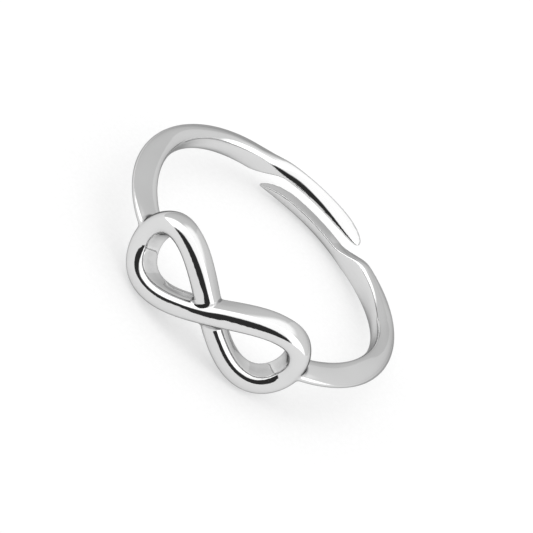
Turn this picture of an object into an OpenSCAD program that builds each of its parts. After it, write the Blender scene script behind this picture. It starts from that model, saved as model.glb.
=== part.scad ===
// An open finger ring of cast silver. An infinity sign is its front, and two arms run from the
// loops round the finger. Their narrow tips pass one above the other at the back, so that the
// ring can be sprung wider or tighter. It lies on its side, as it rests on a table.
// Seen along +Y, the infinity faces the viewer, with its length along X.

/* [Finger] */
// Diameter of the hole for the finger
finger_d = 17; // [14:0.5:21]

/* [Infinity] */
// Length of the infinity, measured along its curve round the finger
infinity_len = 13.8; // [12:0.2:16]
// Height of the infinity over its loops
infinity_h = 5.5; // [5:0.1:7]
// Width of the strand where it crosses itself
crossing_w = 1.3; // [1:0.1:1.8]
// Width of the strand at the far ends of the loops
loop_end_w = 1.45; // [1.1:0.05:1.9]
// Depth of the strand, from the finger to its crown
strand_t = 1.75; // [1.2:0.05:2]
// How far the upper strand rises at the crossing, and the lower one sinks
crossing_rise = 0.15; // [0:0.05:0.4]
// How far the widest part of each loop leans to the middle, as a share of its height
loop_lean = 0.12; // [0:0.02:0.2]
// How far the crown of the strand leans toward its lower side, where it runs along the band
crown_lean = 0.18; // [0:0.02:0.3]

/* [Arms] */
// Width of an arm where it leaves its loop
joint_w = 0.8; // [0.6:0.1:1.4]
// Thickness of an arm where it leaves its loop
joint_t = 1.7; // [1.2:0.05:2]
// Width of an arm at its shoulder
shoulder_w = 1.65; // [1.2:0.05:2.2]
// Thickness of an arm at its shoulder
shoulder_t = 1.25; // [0.9:0.05:1.6]
// Place of the shoulders, as an angle round the finger from the middle of the infinity
shoulder_angle = 154; // [145:1:160]
// Distance along the finger over which a shoulder narrows to its tip
shoulder_run = 2.7; // [2:0.1:4]
// How far the arms spread apart at their shoulders, measured from one middle to the other
shoulder_spread = 0.75; // [0.4:0.05:1.2]
// How far the sides of the band ride above the middle of the infinity
side_rise = 0.35; // [0:0.05:0.5]
// How far the back of the band sits below the middle of the infinity
back_drop = 0.15; // [0:0.05:0.8]

/* [Tips] */
// Width of the tips
tip_w = 0.9; // [0.6:0.05:1.2]
// Thickness of the tips
tip_t = 1.05; // [0.7:0.05:1.3]
// Clear gap between the two tips
tip_gap = 1; // [0.4:0.05:1.4]
// How far the upper tip runs past the middle of the back
upper_tip_run = 4; // [2:0.1:5]
// How far the lower tip runs past the middle of the back
lower_tip_run = 3.95; // [2:0.05:5]
// Length over which a tip rounds off to its end
tip_round = 2.9; // [1:0.1:3.5]

/* [Hidden] */

finger_r = finger_d / 2;
// The inner faces of the arms lie on the finger hole. Those of the strand stand back a little,
// and more so where it passes below itself, so that no two inner faces lie in one plane.
over_inset = 0.02;
under_inset = 0.06;
// Radii on which the lengths of the infinity and of the tips are measured
STRAND_CORE = 0.6;
strand_r = finger_r + STRAND_CORE * strand_t;
tip_r = finger_r + tip_t / 2;
// Half length and half height of the strand's middle line
reach = (infinity_len - loop_end_w) / 2;
climb = (infinity_h - (crossing_w + loop_end_w) / 2) / 2;
// The arms start in the middle of the strand, at the far ends of the loops
joint_angle = arc_angle(reach, strand_r);
shoulder_half = arc_angle(shoulder_run / 2, finger_r);
// Rings along one half of the strand and along one arm
STRAND_RINGS = 46;
ARM_RINGS = 50;
// Points round a section, a multiple of four so that its widest and highest points are drawn
SECTION_POINTS = 24;
// How one side of a section is shaped, as [wall, crown, inside]. The wall is where the side is
// widest, as a share of the depth. The other two say how square it is further out and further
// in: 1 is a straight slope, 2 an ellipse and 9 nearly a square corner.
LOOP_OUTSIDE = [0.4, 2.1, 2.1];
LOOP_INSIDE = [0.75, 2.3, 9];
BAND_SIDE = [0.28, 2.4, 7];
GAP_SIDE = [0.5, 9, 9];
ROUND_SIDE = [0.68, 1.9, 1.5];
// How far the thickest part of a tip lies toward the gap, as a share of the tip's width
TIP_SHIFT = 0.4;
// Width and thickness of a tip's very end, as shares of the tip
TIP_END_W = 0.08;
TIP_END_T = 0.26;
// How a tip narrows: the larger the first, the later it starts. The upper tip has a blunt end
// and the lower one a sharp end.
TIP_START = 2.2;
BLUNT_END = 2;
SHARP_END = 1.2;
// How soon the two sides of the strand change over beside the crossing
SIDE_CHANGE = 1.6;

function arc_angle(length, radius) = length / radius * 180 / PI;

function blend(from, to, share) = from + (to - from) * share;

// Goes from 0 to 1 while a goes from start to end, and starts and stops gently
function ease(a, start, end) =
    let (u = min(1, max(0, (a - start) / (end - start))))
    u * u * (3 - 2 * u);

function power(value, exponent) = sign(value) * pow(abs(value), exponent);

// A section of the metal, as points [out from the finger hole, across]. sides has the shapes of
// its two sides, the one toward -across first. middle is where across it is thickest.
function section(w, t, inset, sides, middle = 0) =
    [for (i = [0 : SECTION_POINTS - 1])
        let (a = 360 * i / SECTION_POINTS)
        let (side = sides[sin(a) > 0 ? 1 : 0])
        let (wall = t * side[0])
        let (exponent = 2 / (cos(a) > 0 ? side[1] : side[2]))
        let (depth = cos(a) > 0 ? t - wall : wall - inset)
        let (half_w = w / 2 - sign(sin(a)) * middle)
        [wall + depth * power(cos(a), exponent), middle + half_w * power(sin(a), exponent)]];

// A point at an angle round the finger from the middle of the infinity, seen from above
function around(angle, out, z) =
    [sin(angle) * (finger_r + out), -cos(angle) * (finger_r + out), z];

// Middle line of the strand, as [along the curve, up], for t from 0 to 360. At t = 0 it crosses
// over itself, and at t = 180 it passes below.
function line(t) = [reach * sin(t), climb * sin(2 * t) * (1 + loop_lean * cos(2 * t))];

function line_side(t) =
    let (step = line(t + 0.5) - line(t - 0.5))
    [-step.y, step.x] / norm(step);

// The strand is rounder on the outside of a loop than toward its hole
function strand_sides(t) =
    let (change = min(1, max(-1, SIDE_CHANGE * sin(t))))
    [for (side = [-1, 1]) blend(LOOP_INSIDE, LOOP_OUTSIDE, 0.5 + side * change / 2)];

function strand_ring(t) =
    let (w = blend(crossing_w, loop_end_w, pow(sin(t), 2)))
    let (depth = strand_t + crossing_rise * pow(cos(t), 3))
    let (middle = line(t))
    let (across = line_side(t))
    let (inset = blend(under_inset, over_inset, 0.5 + cos(t) / 2))
    [for (p = section(w, depth, inset, strand_sides(t), -crown_lean * across.y))
        let (place = middle + across * p.y)
        around(arc_angle(place.x, strand_r), p.x, place.y)];

function strand_rings(start) =
    [for (i = [0 : STRAND_RINGS]) strand_ring(start + 180 * i / STRAND_RINGS)];

// Share of the way from the joint to the shoulder, and across the shoulder to the tip
function to_shoulder(a) = ease(a, joint_angle, shoulder_angle - shoulder_half);
function to_tip(a) = ease(a, shoulder_angle - shoulder_half, shoulder_angle + shoulder_half);

// The narrowing of a tip: 1 along the arm, falling to 0 at its end
function tip_share(a, end, bluntness) =
    let (u = max(0, 1 - (end - a) / arc_angle(tip_round, tip_r)))
    pow(max(0, 1 - pow(u, TIP_START)), 1 / bluntness);

// side is 1 for the upper arm, which leaves the left loop, and -1 for the lower one
function arm_z(a, side) =
    let (at_tip = side * (tip_gap + tip_w) / 2 - back_drop)
    let (at_shoulder = side * shoulder_spread / 2 - back_drop * ease(a, joint_angle, 180))
    let (along = min(1, max(0, (a - joint_angle) / (shoulder_angle - joint_angle))))
    blend(at_shoulder * to_shoulder(a), at_tip, to_tip(a)) + side_rise * sin(180 * along);

// Toward its tip an arm becomes half of an oval, with its flat side to the gap
function arm_ring(a, end, side, bluntness) =
    let (tip = to_tip(a))
    let (share = tip_share(a, end, bluntness))
    let (full_w = blend(blend(joint_w, shoulder_w, to_shoulder(a)), tip_w, tip))
    let (full_t = blend(blend(joint_t, shoulder_t, to_shoulder(a)), tip_t, tip))
    let (w = full_w * blend(TIP_END_W, 1, share))
    let (t = full_t * blend(TIP_END_T, 1, share))
    let (sides = [blend(BAND_SIDE, ROUND_SIDE, tip), blend(BAND_SIDE, GAP_SIDE, tip)])
    [for (p = section(w, t, 0, sides, TIP_SHIFT * w * tip))
        around(-side * a, p.x, arm_z(a, side) - side * p.y)];

function arm_rings(run, side, bluntness) =
    let (end = 180 + arc_angle(run, tip_r))
    [for (i = [0 : ARM_RINGS]) arm_ring(blend(joint_angle, end, i / ARM_RINGS), end, side, bluntness)];

// The four swept pieces of metal, which are one casting
SWEEPS = [
    strand_rings(45),
    strand_rings(225),
    arm_rings(upper_tip_run, 1, BLUNT_END),
    arm_rings(lower_tip_run, -1, SHARP_END)];
POINTS = [for (rings = SWEEPS) for (ring = rings) each ring];

// The ring leans back until its lowest loops and the lowest part of its back lie on the table.
// Each pass finds the lowest points anew.
SETTLING_PASSES = 3;

function height(p, tilt) = p.z * cos(tilt) - p.y * sin(tilt);

function lowest(points, tilt) =
    let (least = min([for (p = points) height(p, tilt)]))
    [for (p = points) if (height(p, tilt) == least) p][0];

function settled(tilt, passes) =
    let (front = lowest([for (p = POINTS) if (p.y < 0) p], tilt))
    let (back = lowest([for (p = POINTS) if (p.y > 0) p], tilt))
    let (next = atan2(back.z - front.z, back.y - front.y))
    passes == 0 ? tilt : settled(next, passes - 1);

rest_tilt = settled(0, SETTLING_PASSES);
RESTING = [for (p = POINTS) [p.x, p.y * cos(rest_tilt) + p.z * sin(rest_tilt), height(p, rest_tilt)]];
low = [for (i = [0 : 2]) min([for (p = RESTING) p[i]])];
high = [for (i = [0 : 2]) max([for (p = RESTING) p[i]])];

// Closes a row of rings into one solid
module sweep(rings) {
    n = len(rings[0]);
    last = (len(rings) - 1) * n;
    start_cap = [for (i = [1 : n - 2]) [0, i + 1, i]];
    end_cap = [for (i = [1 : n - 2]) [last, last + i, last + i + 1]];
    skin = [for (k = [0 : len(rings) - 2]) for (i = [0 : n - 1])
        let (a = k * n + i)
        let (b = k * n + (i + 1) % n)
        each [[a, b, a + n], [b, b + n, a + n]]];
    polyhedron([for (ring = rings) each ring], concat(start_cap, skin, end_cap));
}

module infinity_ring() {
    color("silver")
    translate([-(low.x + high.x) / 2, -(low.y + high.y) / 2, -low.z])
    rotate([-rest_tilt, 0, 0])
    for (rings = SWEEPS) sweep(rings);
}

infinity_ring();
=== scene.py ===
# %% [markdown]
# # An infinity ring in polished silver
# This lesson dresses one small cast part: an open finger ring whose front is an infinity sign.
# The part comes from its solid model, which fixes where every surface lies. Here it gets the
# fine shape and the finish that the camera sees. All lengths in Blender are in metres, and the
# ring is only 20 mm across, so it is shaped in millimetres and the finished skin is scaled down.

# %% Load the solid model
import math
import bmesh
import bpy
from mathutils import Matrix, Vector


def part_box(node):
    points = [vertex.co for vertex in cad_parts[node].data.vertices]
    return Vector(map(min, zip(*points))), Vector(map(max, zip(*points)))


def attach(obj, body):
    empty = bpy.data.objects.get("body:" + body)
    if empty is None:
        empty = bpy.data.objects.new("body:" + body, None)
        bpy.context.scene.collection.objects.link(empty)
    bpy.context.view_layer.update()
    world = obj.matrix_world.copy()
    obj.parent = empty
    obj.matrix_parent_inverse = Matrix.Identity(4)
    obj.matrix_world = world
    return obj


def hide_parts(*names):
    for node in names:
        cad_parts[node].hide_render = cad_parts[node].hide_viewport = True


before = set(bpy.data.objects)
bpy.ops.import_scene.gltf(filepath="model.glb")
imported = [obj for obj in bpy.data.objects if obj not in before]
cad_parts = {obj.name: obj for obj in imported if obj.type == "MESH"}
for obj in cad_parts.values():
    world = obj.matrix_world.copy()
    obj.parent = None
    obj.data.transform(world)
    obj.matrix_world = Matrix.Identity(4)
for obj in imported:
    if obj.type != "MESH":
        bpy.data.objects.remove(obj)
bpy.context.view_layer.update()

MM = 0.001

# %% [markdown]
# ## The camera
# The photograph looks down at the ring from about 34 degrees above the table, through a long
# lens, and it is rolled, so that the infinity sign runs down to the right. The camera comes
# first, because it says which parts of the ring deserve the most work. Its lens follows from how
# many pixels of the photograph a metre would fill at the ring, and it aims a little beside the
# ring's middle, as the photograph is framed.

# %% Camera
ELEVATION, AZIMUTH, ROLL = math.radians(33.57), math.radians(0.42), math.radians(44.18)
DISTANCE = 123.2 * MM
PIXELS_PER_METRE = 16438
AIM = Vector((0, 0, 2.7 * MM))
SIDEWAYS, UPWARDS = -0.169 * MM, -0.867 * MM
PHOTO_SIDE = 533
SENSOR_WIDTH = 36
CLIP_NEAR, CLIP_FAR = 0.001, 10

back = Vector((math.sin(AZIMUTH) * math.cos(ELEVATION), -math.cos(AZIMUTH) * math.cos(ELEVATION),
               math.sin(ELEVATION)))
level = Vector((math.cos(AZIMUTH), math.sin(AZIMUTH), 0))
upright = back.cross(level)
right = level * math.cos(ROLL) + upright * math.sin(ROLL)
up = upright * math.cos(ROLL) - level * math.sin(ROLL)

camera = bpy.data.objects.new("camera", bpy.data.cameras.new("camera"))
bpy.context.scene.collection.objects.link(camera)
camera.data.sensor_width = SENSOR_WIDTH
camera.data.lens = PIXELS_PER_METRE * DISTANCE / PHOTO_SIDE * SENSOR_WIDTH
camera.data.clip_start, camera.data.clip_end = CLIP_NEAR, CLIP_FAR
place = AIM + back * DISTANCE + right * SIDEWAYS + up * UPWARDS
camera.matrix_world = Matrix.Translation(place) @ Matrix((right, up, back)).transposed().to_4x4()
bpy.context.scene.camera = camera
print("lens, mm:", round(camera.data.lens, 1))

# %% [markdown]
# ## The sizes of the ring
# The numbers are the sizes of the solid model, in millimetres. The finger hole is 17 mm across,
# and everything else is laid out on it. Angles are in degrees and are counted round the finger,
# from the middle of the infinity sign. Lengths along the sign and the tips are measured inside
# the metal, on the radii STRAND_R and TIP_R.

# %% Sizes
FINGER_R = 8.5
INFINITY_LEN, INFINITY_H = 13.8, 5.5
CROSSING_W, LOOP_END_W, STRAND_T = 1.3, 1.45, 1.75
CROSSING_RISE, LOOP_LEAN, CROWN_LEAN = 0.15, 0.12, 0.18
JOINT_W, JOINT_T = 0.8, 1.7
SHOULDER_W, SHOULDER_T = 1.65, 1.25
SHOULDER_ANGLE, SHOULDER_RUN, SHOULDER_SPREAD = 154, 2.7, 0.75
SIDE_RISE, BACK_DROP = 0.35, 0.15
TIP_W, TIP_T, TIP_GAP = 0.9, 1.05, 1.0
UPPER_TIP_RUN, LOWER_TIP_RUN, TIP_ROUND = 4.0, 3.95, 2.9

STRAND_CORE = 0.6
STRAND_R = FINGER_R + STRAND_CORE * STRAND_T
TIP_R = FINGER_R + TIP_T / 2
REACH = (INFINITY_LEN - LOOP_END_W) / 2
CLIMB = (INFINITY_H - (CROSSING_W + LOOP_END_W) / 2) / 2


def blend(start, end, share):
    return start + (end - start) * share


def ease(value, start, end):
    """From 0 to 1 while value goes from start to end, with a gentle start and stop."""
    u = min(1, max(0, (value - start) / (end - start)))
    return u * u * (3 - 2 * u)


def arc_angle(length, radius):
    return math.degrees(length / radius)


JOINT_ANGLE = arc_angle(REACH, STRAND_R)
SHOULDER_HALF = arc_angle(SHOULDER_RUN / 2, FINGER_R)
print("the arms start", round(JOINT_ANGLE, 1), "degrees from the middle of the infinity")

# %% [markdown]
# ## A bar of silver
# A ring like this is first a wax, or a wire that the maker bends round a mandrel. It could be
# modelled as a curve with a bevel, but a curve gives one section all along. A straight bar of
# many rings is bent here instead: the operators make the bar, and each of its points is then
# carried to its place on the ring, as a mandrel would do.

# %% A straight bar, and the way it is bent
AROUND = 64


def straight_bar(steps):
    """A closed bar of radius 1 from z = 0 to z = 1, with a ring of points at every step."""
    bar = bmesh.new()
    bmesh.ops.create_cone(bar, cap_ends=True, segments=AROUND, radius1=1, radius2=1, depth=1)
    bmesh.ops.translate(bar, verts=bar.verts, vec=(0, 0, 0.5))
    long_edges = [e for e in bar.edges if abs(e.verts[0].co.z - e.verts[1].co.z) > 0.5]
    bmesh.ops.subdivide_edges(bar, edges=long_edges, cuts=steps - 1)
    return bar


def bend(bar, shape):
    """Carries each point to shape(along, out, across)."""
    for v in bar.verts:
        v.co = shape(v.co.z, v.co.x, v.co.y)


def round_the_finger(angle, out, z):
    a = math.radians(angle)
    return Vector((math.sin(a) * (FINGER_R + out), -math.cos(a) * (FINGER_R + out), z))


trial = straight_bar(4)
print("a trial bar of 4 steps:", len(trial.verts), "points,", len(trial.faces), "faces")
trial.free()

# %% [markdown]
# ## The section of the metal
# Cut through, the band is a D: the outside is a polished crown, and the inside lies flat on the
# finger. The infinity is rounder outside its loops, and has steep walls in them. At the back the
# band is split in two, so each tip is half of an oval: flat and sharp on the side of the gap,
# round on the other. One rule draws them all. Each side of a section has a wall, where it is
# widest, and says how square it is further out and further in: 2 is an ellipse, 9 nearly a
# corner. The solid model leaves the inside edges of the arms nearly square. Here they are
# rounded, which gives them the broad bright edge that the photograph shows.

# %% Section
LOOP_OUTSIDE = (0.4, 2.1, 2.1)
LOOP_INSIDE = (0.75, 2.3, 9)
BAND_SIDE = (0.34, 2.4, 2.8)
GAP_SIDE = (0.5, 9, 9)
ROUND_SIDE = (0.68, 1.9, 1.5)
TIP_SHIFT = 0.4


def power(value, exponent):
    return math.copysign(abs(value) ** exponent, value)


def between_sides(one, other, share):
    return [blend(a, b, share) for a, b in zip(one, other)]


def section(c, s, w, t, inset, side, middle):
    """Carries a point (c, s) of the unit circle to (out, across) on a section of the metal.

    inset is how far its inside stands back from the finger, and middle is where it is thickest.
    """
    wall, crown, inside = side
    exponent = 2 / (crown if c > 0 else inside)
    depth = t - wall * t if c > 0 else wall * t - inset
    half_w = w / 2 - (middle if s > 0 else -middle)
    return wall * t + depth * power(c, exponent), middle + half_w * power(s, exponent)


slant = math.radians(45)
for name, side in (("inside of a loop", LOOP_INSIDE), ("gap side of a tip", GAP_SIDE)):
    out, across = section(math.cos(slant), math.sin(slant), 2, 1, 0, side, 0)
    print(name, "at 45 degrees: out", round(out, 2), "across", round(across, 2))

# %% [markdown]
# ## The infinity
# One strand draws the sign and passes over itself in the middle. Its middle line is a figure of
# eight, laid on the finger's cylinder. The strand rises where it is on top and dips where it
# passes below. Its crown leans down a little, which is why the long dark reflection lies nearer
# the lower edge of the metal. Its inside stands back from the finger by a hair, and by more where
# it passes below. Beside the crossing its rounder and its steeper side change over. The bar is
# bent once along all of it, and its two ends meet at the far end of the right loop, where they
# are welded.

# %% Infinity strand
UNDER_INSET, OVER_INSET = 0.06, 0.02
SIDE_CHANGE = 1.6
STRAND_STEPS = 400
LINE_STEP = 0.01
WELD = 0.001


def line(t):
    """A point of the middle line, as (along the sign, up)."""
    return REACH * math.sin(t), CLIMB * math.sin(2 * t) * (1 + LOOP_LEAN * math.cos(2 * t))


def strand_shape(along, c, s):
    t = math.radians(90 + 360 * along)
    w = blend(CROSSING_W, LOOP_END_W, math.sin(t) ** 2)
    depth = STRAND_T + CROSSING_RISE * math.cos(t) ** 3
    inset = blend(UNDER_INSET, OVER_INSET, 0.5 + math.cos(t) / 2)
    change = min(1, max(-1, SIDE_CHANGE * math.sin(t)))
    side = between_sides(LOOP_INSIDE, LOOP_OUTSIDE, 0.5 + math.copysign(change, change * s) / 2)
    (x0, z0), (x1, z1) = line(t - LINE_STEP), line(t + LINE_STEP)
    length = math.hypot(x1 - x0, z1 - z0)
    lean_x, lean_z = -(z1 - z0) / length, (x1 - x0) / length
    out, across = section(c, s, w, depth, inset, side, -CROWN_LEAN * lean_z)
    x, z = line(t)
    return round_the_finger(arc_angle(x + lean_x * across, STRAND_R), out, z + lean_z * across)


strand = straight_bar(STRAND_STEPS)
ends = [f for f in strand.faces if len(f.verts) > 4]
bmesh.ops.delete(strand, geom=ends, context="FACES_ONLY")
bend(strand, strand_shape)
bmesh.ops.remove_doubles(strand, verts=strand.verts, dist=WELD)
print("strand:", len(strand.faces), "faces, closed:", all(e.is_manifold for e in strand.edges))

# %% [markdown]
# ## The arms
# Each arm leaves the far end of a loop, runs round the finger and widens to a shoulder. There it
# steps down to a tip, and the two tips pass each other at the back with a gap between them, so
# the ring can be sprung wider. The upper tip ends round, the lower one in a point.

# %% Arms
ARM_STEPS = 260
TIP_END_W, TIP_END_T = 0.04, 0.23
TIP_START, BLUNT_END, SHARP_END = 2.2, 2, 1.2


def to_shoulder(a):
    return ease(a, JOINT_ANGLE, SHOULDER_ANGLE - SHOULDER_HALF)


def to_tip(a):
    return ease(a, SHOULDER_ANGLE - SHOULDER_HALF, SHOULDER_ANGLE + SHOULDER_HALF)


def arm_z(a, way):
    """way is 1 for the upper arm, from the left loop, and -1 for the lower one."""
    at_tip = way * (TIP_GAP + TIP_W) / 2 - BACK_DROP
    at_shoulder = way * SHOULDER_SPREAD / 2 - BACK_DROP * ease(a, JOINT_ANGLE, 180)
    along = min(1, max(0, (a - JOINT_ANGLE) / (SHOULDER_ANGLE - JOINT_ANGLE)))
    rise = SIDE_RISE * math.sin(math.pi * along)
    return blend(at_shoulder * to_shoulder(a), at_tip, to_tip(a)) + rise


def tip_share(a, end, bluntness):
    """1 along the arm, falling to 0 at the end of its tip."""
    u = max(0, 1 - (end - a) / arc_angle(TIP_ROUND, TIP_R))
    return max(0, 1 - u ** TIP_START) ** (1 / bluntness)


def arm_shape(run, way, bluntness):
    end = 180 + arc_angle(run, TIP_R)

    def shape(along, c, s):
        a = blend(JOINT_ANGLE, end, along)
        tip, share = to_tip(a), tip_share(a, end, bluntness)
        wide = to_shoulder(a)
        w = blend(blend(JOINT_W, SHOULDER_W, wide), TIP_W, tip) * blend(TIP_END_W, 1, share)
        t = blend(blend(JOINT_T, SHOULDER_T, wide), TIP_T, tip) * blend(TIP_END_T, 1, share)
        side = between_sides(BAND_SIDE, GAP_SIDE if s > 0 else ROUND_SIDE, tip)
        out, across = section(c, s, w, t, 0, side, TIP_SHIFT * w * tip)
        return round_the_finger(-way * a, out, arm_z(a, way) - way * across)

    return shape


arms = []
for run, way, bluntness in ((UPPER_TIP_RUN, 1, BLUNT_END), (LOWER_TIP_RUN, -1, SHARP_END)):
    arm = straight_bar(ARM_STEPS)
    bend(arm, arm_shape(run, way, bluntness))
    arms.append(arm)
    print("arm:", len(arm.faces), "faces")

# %% [markdown]
# ## One casting
# The real ring is one piece of metal. The bars are joined in one mesh, which a voxel remesh turns
# into one skin, and a light smoothing rounds its edges as a polishing wheel does. The voxels are
# about as small as they can be while the skin stays below 200,000 triangles.

# %% Join the bars and turn them into one skin
VOXEL = 0.075
SMOOTHING, POLISH_PASSES = 0.5, 7

casting = bmesh.new()
for part in (strand, *arms):
    loose = bpy.data.meshes.new("bar")
    bmesh.ops.recalc_face_normals(part, faces=part.faces)
    part.to_mesh(loose)
    part.free()
    casting.from_mesh(loose)
    bpy.data.meshes.remove(loose)

mesh = bpy.data.meshes.new("bars")
casting.to_mesh(mesh)
casting.free()
ring = bpy.data.objects.new("silver_ring", mesh)
bpy.context.scene.collection.objects.link(ring)

remesh = ring.modifiers.new("one skin", "REMESH")
remesh.mode = "VOXEL"
remesh.voxel_size = VOXEL
polish = ring.modifiers.new("polish", "SMOOTH")
polish.factor, polish.iterations = SMOOTHING, POLISH_PASSES
skin = bpy.data.meshes.new_from_object(ring.evaluated_get(bpy.context.evaluated_depsgraph_get()))
ring.modifiers.clear()
ring.data = skin
bpy.data.meshes.remove(mesh)
skin.name = "silver_ring"
print("one skin:", len(skin.vertices), "points,", len(skin.polygons), "faces")

# %% [markdown]
# ## The inner corners
# Where two bars meet, the skin has an inner corner: under the crossing, and where the arms meet
# the loops. A point lies in one when its neighbours stand above it. The walls inside the loops
# are a little hollow too, because they curve round their holes. The measure is spread over
# the neighbours a few times, or it would look grainy, and goes from 0 on open metal to 1 where a
# corner is fully hollow. It is used twice. A real casting has a fillet in its corners, so the
# hollow points are smoothed some more. And the measure is stored with the mesh, for the finish,
# which paints shade into these corners and makes them duller.

# %% Find the inner corners and round them
HOLLOW_SPREAD = 8
FULLY_HOLLOW = 0.06
FILLET_FROM, FILLET_PASSES = 0.24, 60

shell = bmesh.new()
shell.from_mesh(skin)
hollow = {v: sum((e.other_vert(v).co - v.co).normalized().dot(v.normal) for e in v.link_edges)
          / max(1, len(v.link_edges)) for v in shell.verts}
for _ in range(HOLLOW_SPREAD):
    hollow = {v: (hollow[v] + sum(hollow[e.other_vert(v)] for e in v.link_edges))
              / (1 + len(v.link_edges)) for v in shell.verts}
depths = [min(1, max(0, hollow[v] / FULLY_HOLLOW)) for v in shell.verts]
fillets = [v for v, depth in zip(shell.verts, depths) if depth > FILLET_FROM]
for _ in range(FILLET_PASSES):
    bmesh.ops.smooth_vert(shell, verts=fillets, factor=SMOOTHING, use_axis_x=True,
                          use_axis_y=True, use_axis_z=True)
shell.to_mesh(skin)
shell.free()
# Stored for the finish, which paints shade into these corners.
corners = skin.attributes.new("corners", "FLOAT", "POINT")
corners.data.foreach_set("value", depths)
print("points in the fillets:", len(fillets), "of", len(skin.vertices))

# %% [markdown]
# ## Laying it down
# The ring rests on its two lower loops and the lower edge of its back, which leans it back by
# nearly 4 degrees. It is then scaled by less than a hair and set into the box of the solid
# model, so that nothing of it is larger than the part.

# %% Rest it where the solid model rests
REST_TILT = math.radians(3.9353)

skin.transform(Matrix.Rotation(-REST_TILT, 4, "X"))
skin.transform(Matrix.Scale(MM, 4))
low, high = (Vector(v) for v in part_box("infinity_ring"))
mine = [Vector([f(v.co[i] for v in skin.vertices) for i in range(3)]) for f in (min, max)]
fit = min(1, *((high[i] - low[i]) / (mine[1][i] - mine[0][i]) for i in range(3)))
skin.transform(Matrix.Scale(fit, 4))
shift = (low + high) / 2 - fit * (mine[0] + mine[1]) / 2
shift.z = low.z - fit * mine[0].z
skin.transform(Matrix.Translation(shift))
skin.polygons.foreach_set("use_smooth", [True] * len(skin.polygons))
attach(ring, "root")
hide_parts("infinity_ring")
print("scaled by", round(fit, 4), "and moved by, mm:", [round(v / MM, 3) for v in shift])

# %% [markdown]
# ## Node helpers
# Materials and the sky are built from nodes. These few functions keep the recipes short: most
# of them add one node, join its inputs and give back its output. Noise seldom goes near 0 or 1,
# so it is stretched from the narrower range that it does fill.

# %% Node helpers
NOISE_LOW, NOISE_HIGH = 0.3, 0.7


def node(tree, kind, **values):
    made = tree.nodes.new(kind)
    for name, value in values.items():
        setattr(made, name, value)
    return made


def wire(tree, source, target):
    """Joins an output to an input, or sets the input when the source is a plain value."""
    if isinstance(source, (int, float, tuple)):
        target.default_value = source
    else:
        tree.links.new(source, target)


def sums(tree, operation, a, b=0.0, clamp=False):
    """One step of arithmetic."""
    made = node(tree, "ShaderNodeMath", operation=operation, use_clamp=clamp)
    wire(tree, a, made.inputs[0])
    wire(tree, b, made.inputs[1])
    return made.outputs[0]


def scaled(tree, value, start, end, low, high):
    """Runs gently from low to high while value goes from start to end."""
    made = node(tree, "ShaderNodeMapRange", interpolation_type="SMOOTHSTEP")
    for source, name in ((value, "Value"), (start, "From Min"), (end, "From Max"), (low, "To Min"),
                         (high, "To Max")):
        wire(tree, source, made.inputs[name])
    return made.outputs["Result"]


def mixed(tree, kind, share, a, b):
    """a where share is 0, b where it is 1. A Mix node has other sockets for each kind of value."""
    made = node(tree, "ShaderNodeMix", data_type=kind)
    sockets, result = {"FLOAT": ((0, 2, 3), 0), "RGBA": ((0, 6, 7), 2)}[kind]
    for source, number in zip((share, a, b), sockets):
        wire(tree, source, made.inputs[number])
    return made.outputs[result]


def speckle(tree, place, size, detail, fourth=0.0):
    """Soft noise with lumps of the given size in metres and some finer layers of detail."""
    made = node(tree, "ShaderNodeTexNoise", noise_dimensions="4D")
    wire(tree, place, made.inputs["Vector"])
    wire(tree, fourth, made.inputs["W"])
    wire(tree, 1 / size, made.inputs["Scale"])
    wire(tree, detail, made.inputs["Detail"])
    return made.outputs["Fac"]


def recipe(name, **outputs):
    """A node group with the named outputs, and the node that gathers them."""
    group = bpy.data.node_groups.new(name, "ShaderNodeTree")
    for label, kind in outputs.items():
        group.interface.new_socket(name=label, in_out="OUTPUT", socket_type=kind)
    return group, node(group, "NodeGroupOutput")


print("helpers ready")

# %% [markdown]
# ## The hand of the polisher
# Two things tell hand-finished silver from chrome on a computer. The surface isn't quite even:
# filing and buffing leave low waves some millimetres long, which draw leaf-shaped reflections
# on the arms. And the cloth leaves fine lines that run round the band and soften the shine by a
# trace. Both are noise that is long round the finger and narrow across it. Squeezing the place
# sideways, but not upwards, draws the noise out that way, without a seam. The distance from the
# middle goes in as a fourth coordinate, so that the noise still changes from the inside of the
# band to the outside. The arms are filed more than the sign, so their waves are higher: they
# grow on the way back from the front of the ring, which lies toward -Y. Soft smears, which have
# no direction, make some places a little duller than others.

# %% Waves and strokes
WAVE_WIDTH, WAVE_LENGTH = 1.4 * MM, 5.0 * MM
WAVES_ON_SIGN = 0.35
SIGN_Y, ARMS_Y = -7.5 * MM, -4.5 * MM
STROKE_WIDTH, STROKE_LENGTH = 0.09 * MM, 3.0 * MM
STROKE_SHARE, STROKE_ROUGHNESS = 0.0015, 0.03
SMEAR_SIZE, SMEARS_FROM = 1.1 * MM, 0.35
CLEAN_ROUGHNESS, SMEARED_ROUGHNESS = 0.035, 0.075

polisher, polished = recipe("polishers_hand", Height="NodeSocketFloat",
                            Roughness="NodeSocketFloat")
place = node(polisher, "ShaderNodeTexCoord").outputs["Object"]
split = node(polisher, "ShaderNodeSeparateXYZ")
wire(polisher, place, split.inputs[0])
x, y = split.outputs[:2]
squares = [sums(polisher, "MULTIPLY", v, v) for v in (x, y)]
from_middle = sums(polisher, "SQRT", sums(polisher, "ADD", *squares))


def drawn_out(width, length, detail):
    """Noise that is long round the finger and narrow across the band."""
    squeezed = node(polisher, "ShaderNodeVectorMath", operation="MULTIPLY")
    wire(polisher, place, squeezed.inputs[0])
    wire(polisher, (width / length, width / length, 1.0), squeezed.inputs[1])
    return speckle(polisher, squeezed.outputs[0], width, detail, from_middle)


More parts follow.
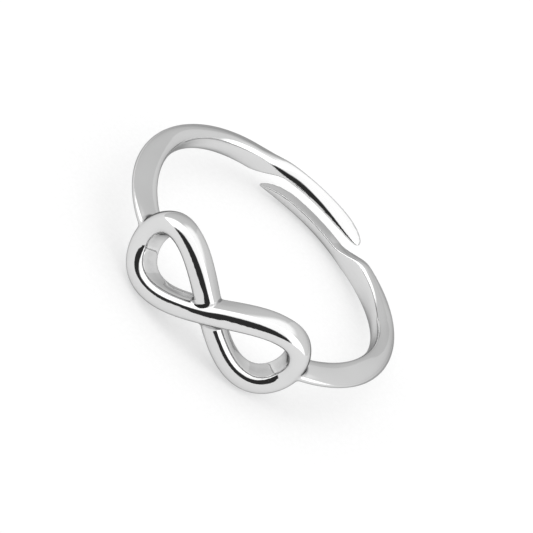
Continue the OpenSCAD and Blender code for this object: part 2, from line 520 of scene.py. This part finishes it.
waves = drawn_out(WAVE_WIDTH, WAVE_LENGTH, detail=0.0)
filed = scaled(polisher, y, SIGN_Y, ARMS_Y, WAVES_ON_SIGN, 1.0)
waves = sums(polisher, "MULTIPLY", sums(polisher, "SUBTRACT", waves, 0.5), filed)
strokes = drawn_out(STROKE_WIDTH, STROKE_LENGTH, detail=2.0)
smears = speckle(polisher, place, SMEAR_SIZE, detail=3.0)
height = sums(polisher, "ADD", waves, sums(polisher, "MULTIPLY", strokes, STROKE_SHARE))
wire(polisher, height, polished.inputs["Height"])
smeared = scaled(polisher, smears, SMEARS_FROM, NOISE_HIGH, CLEAN_ROUGHNESS, SMEARED_ROUGHNESS)
worn = sums(polisher, "ADD", smeared, sums(polisher, "MULTIPLY", strokes, STROKE_ROUGHNESS))
wire(polisher, worn, polished.inputs["Roughness"])
print("polisher's hand:", len(polisher.nodes), "nodes")

# %% [markdown]
# ## The tone of the silver
# Sterling silver is nearly neutral. Shade is painted into the inner corners: the metal is darker
# there, and also duller. The stored measure of the inner corners says where, with an
# uneven edge. A faint cloud of tarnish, in the same darker colour, lies over all of it.

# %% Tone
# The darker colour is painted shade in the inner corners, and a faint tarnish elsewhere.
BRIGHT, SHADE_AND_TARNISH = (0.70, 0.70, 0.70, 1.0), (0.30, 0.30, 0.305, 1.0)
EDGE_SIZE, EDGE_LEAST, EDGE_MOST = 0.4 * MM, 0.7, 1.3
SHADE_AND_DULL_FROM, FULLY_SHADED_AND_DULL = 0.05, 0.9
CLOUD_SIZE, CLOUD_SHARE = 4 * MM, 0.06

toning, toned = recipe("silver_tone", Color="NodeSocketColor", Dullness="NodeSocketFloat")
stored = node(toning, "ShaderNodeAttribute", attribute_name="corners").outputs["Fac"]
place = node(toning, "ShaderNodeTexCoord").outputs["Object"]
edge = scaled(toning, speckle(toning, place, EDGE_SIZE, detail=2.0), NOISE_LOW, NOISE_HIGH,
              EDGE_LEAST, EDGE_MOST)
# Painted shade: the inner corners are darkened in the colour, and also made duller.
corner_shade_and_dullness = scaled(toning, sums(toning, "MULTIPLY", stored, edge), SHADE_AND_DULL_FROM, FULLY_SHADED_AND_DULL, 0.0, 1.0)
cloud = scaled(toning, speckle(toning, place, CLOUD_SIZE, detail=2.0), NOISE_LOW, NOISE_HIGH,
               0.0, CLOUD_SHARE)
shade_and_tarnish_share = sums(toning, "ADD", corner_shade_and_dullness, cloud, clamp=True)
wire(toning, mixed(toning, "RGBA", shade_and_tarnish_share, BRIGHT, SHADE_AND_TARNISH), toned.inputs["Color"])
wire(toning, corner_shade_and_dullness, toned.inputs["Dullness"])
print("tone:", len(toning.nodes), "nodes")

# %% [markdown]
# ## Polished silver
# The two recipes meet in the shader of the ring. It is all metal, so its base colour is what it
# reflects. A low tint darkens the reflection where the surface turns away, which draws the thin
# dark outline that the ring has in front of white paper. The waves on the arms are about a tenth
# of a millimetre from trough to crest: too low to see as shape, but enough to bend a reflection.

# %% Finish of the silver
WAVE_HEIGHT = 0.35 * MM
EDGE_TINT = (0.35, 0.35, 0.35, 1.0)
DULL_ROUGHNESS = 0.15

silver = bpy.data.materials.new("polished_silver")
silver.use_nodes = True
tree = silver.node_tree
shader = tree.nodes["Principled BSDF"]
hand = node(tree, "ShaderNodeGroup", node_tree=polisher)
tone = node(tree, "ShaderNodeGroup", node_tree=toning)
shader.inputs["Metallic"].default_value = 1
shader.inputs["Specular Tint"].default_value = EDGE_TINT
wire(tree, tone.outputs["Color"], shader.inputs["Base Color"])
duller = sums(tree, "MULTIPLY", tone.outputs["Dullness"], DULL_ROUGHNESS)
wire(tree, sums(tree, "ADD", hand.outputs["Roughness"], duller), shader.inputs["Roughness"])
relief = node(tree, "ShaderNodeBump")
relief.inputs["Distance"].default_value = WAVE_HEIGHT
wire(tree, hand.outputs["Height"], relief.inputs["Height"])
wire(tree, relief.outputs["Normal"], shader.inputs["Normal"])
ring.data.materials.clear()
ring.data.materials.append(silver)
print("silver:", len(tree.nodes), "nodes")

# %% [markdown]
# ## The table
# A sheet of pale matt paper with a faint grain lies on a light table, under the ring. About half
# of its light comes from below, so the shadows stay faint and the lower faces of the metal stay
# bright. It is large, so that no edge shows from any side.

# %% Paper
PAPER_SIDE = 1.2
PAPER_ROUGHNESS, PAPER_SHINE = 0.9, 0.1
GRAIN_SIZE, GRAIN_DARK, GRAIN_PALE = 0.3 * MM, 0.44, 0.46
LIGHT_FROM_BELOW = 0.5

sheet = bmesh.new()
bmesh.ops.create_grid(sheet, x_segments=1, y_segments=1, size=PAPER_SIDE / 2)
paper_mesh = bpy.data.meshes.new("paper")
sheet.to_mesh(paper_mesh)
sheet.free()
paper = bpy.data.objects.new("paper", paper_mesh)
bpy.context.scene.collection.objects.link(paper)

pale = bpy.data.materials.new("pale_paper")
pale.use_nodes = True
tree = pale.node_tree
shader = tree.nodes["Principled BSDF"]
shader.inputs["Roughness"].default_value = PAPER_ROUGHNESS
shader.inputs["Specular IOR Level"].default_value = PAPER_SHINE
place = node(tree, "ShaderNodeTexCoord").outputs["Object"]
grain = speckle(tree, place, GRAIN_SIZE, detail=3.0)
tone = scaled(tree, grain, NOISE_LOW, NOISE_HIGH, GRAIN_DARK, GRAIN_PALE)
grey = node(tree, "ShaderNodeCombineColor")
for channel in grey.inputs:
    wire(tree, tone, channel)
wire(tree, grey.outputs[0], shader.inputs["Base Color"])
shader.inputs["Emission Color"].default_value = (1, 1, 1, 1)
shader.inputs["Emission Strength"].default_value = LIGHT_FROM_BELOW
paper.data.materials.append(pale)
print("paper, m:", PAPER_SIDE)

# %% [markdown]
# ## The studio
# Polished metal has hardly a tone of its own: it shows the room. In the photograph the room is a
# light tent with bright sides, a dimmer back and a dark opening for the lens, which draws the
# black lines along the strand. It could be built from lamps and cards. A sky that is worked out
# from the direction alone does the same, with nothing in the way when somebody looks at the ring
# from the other side. Directions are two angles in degrees: the turn away from the front, and the
# height above the level. A pair of them says where one light begins to run over into the next,
# and where it has done so.

# %% The light tent
FRONT_LOW, FRONT_HIGH, SIDES = 1.26, 1.42, 1.85
BACK_LEFT, BACK_RIGHT, OPENING = 0.77, 0.90, 0.035
FRONT_BRIGHTENS = (25.0, 60.0)
SIDES_START, SIDES_STOP = (48.0, 60.0), (94.0, 106.0)
BACK_TURNS, BACK_STOPS = (-60.0, 60.0), (45.0, 66.0)
OPENING_HALF_TURN, OPENING_HEIGHT = 60.0, 48.0
# The rim of the opening, as shares of its half turn and height
OPENING_RIM = (0.87, 1.14)

world = bpy.data.worlds.new("light_tent")
bpy.context.scene.world = world
world.use_nodes = True
sky = world.node_tree
split = node(sky, "ShaderNodeSeparateXYZ")
wire(sky, node(sky, "ShaderNodeTexCoord").outputs["Generated"], split.inputs[0])
x, y, z = split.outputs
height = sums(sky, "DEGREES", sums(sky, "ARCSINE", z))
turn = sums(sky, "DEGREES", sums(sky, "ARCTAN2", x, sums(sky, "MULTIPLY", y, -1.0)))
away = sums(sky, "ABSOLUTE", turn)


def squared_share(angle, whole):
    return sums(sky, "POWER", sums(sky, "DIVIDE", angle, whole), 2.0)


light = scaled(sky, height, *FRONT_BRIGHTENS, FRONT_LOW, FRONT_HIGH)
beside = sums(sky, "MULTIPLY", scaled(sky, away, *SIDES_START, 0.0, 1.0),
              scaled(sky, away, *SIDES_STOP, 1.0, 0.0))
light = mixed(sky, "FLOAT", beside, light, SIDES)
behind = sums(sky, "MULTIPLY", scaled(sky, away, *SIDES_STOP, 0.0, 1.0),
              scaled(sky, height, *BACK_STOPS, 1.0, 0.0))
back_light = scaled(sky, turn, *BACK_TURNS, BACK_LEFT, BACK_RIGHT)
light = mixed(sky, "FLOAT", behind, light, back_light)
from_lens = sums(sky, "ADD", squared_share(away, OPENING_HALF_TURN),
                 squared_share(sums(sky, "ABSOLUTE", height), OPENING_HEIGHT))
light = mixed(sky, "FLOAT", scaled(sky, from_lens, *OPENING_RIM, 1.0, 0.0), light, OPENING)
wire(sky, light, sky.nodes["Background"].inputs["Strength"])
sky.nodes["Background"].inputs["Color"].default_value = (1, 1, 1, 1)
bpy.context.scene.view_settings.view_transform = "Standard"
print("light tent:", len(sky.nodes), "nodes")
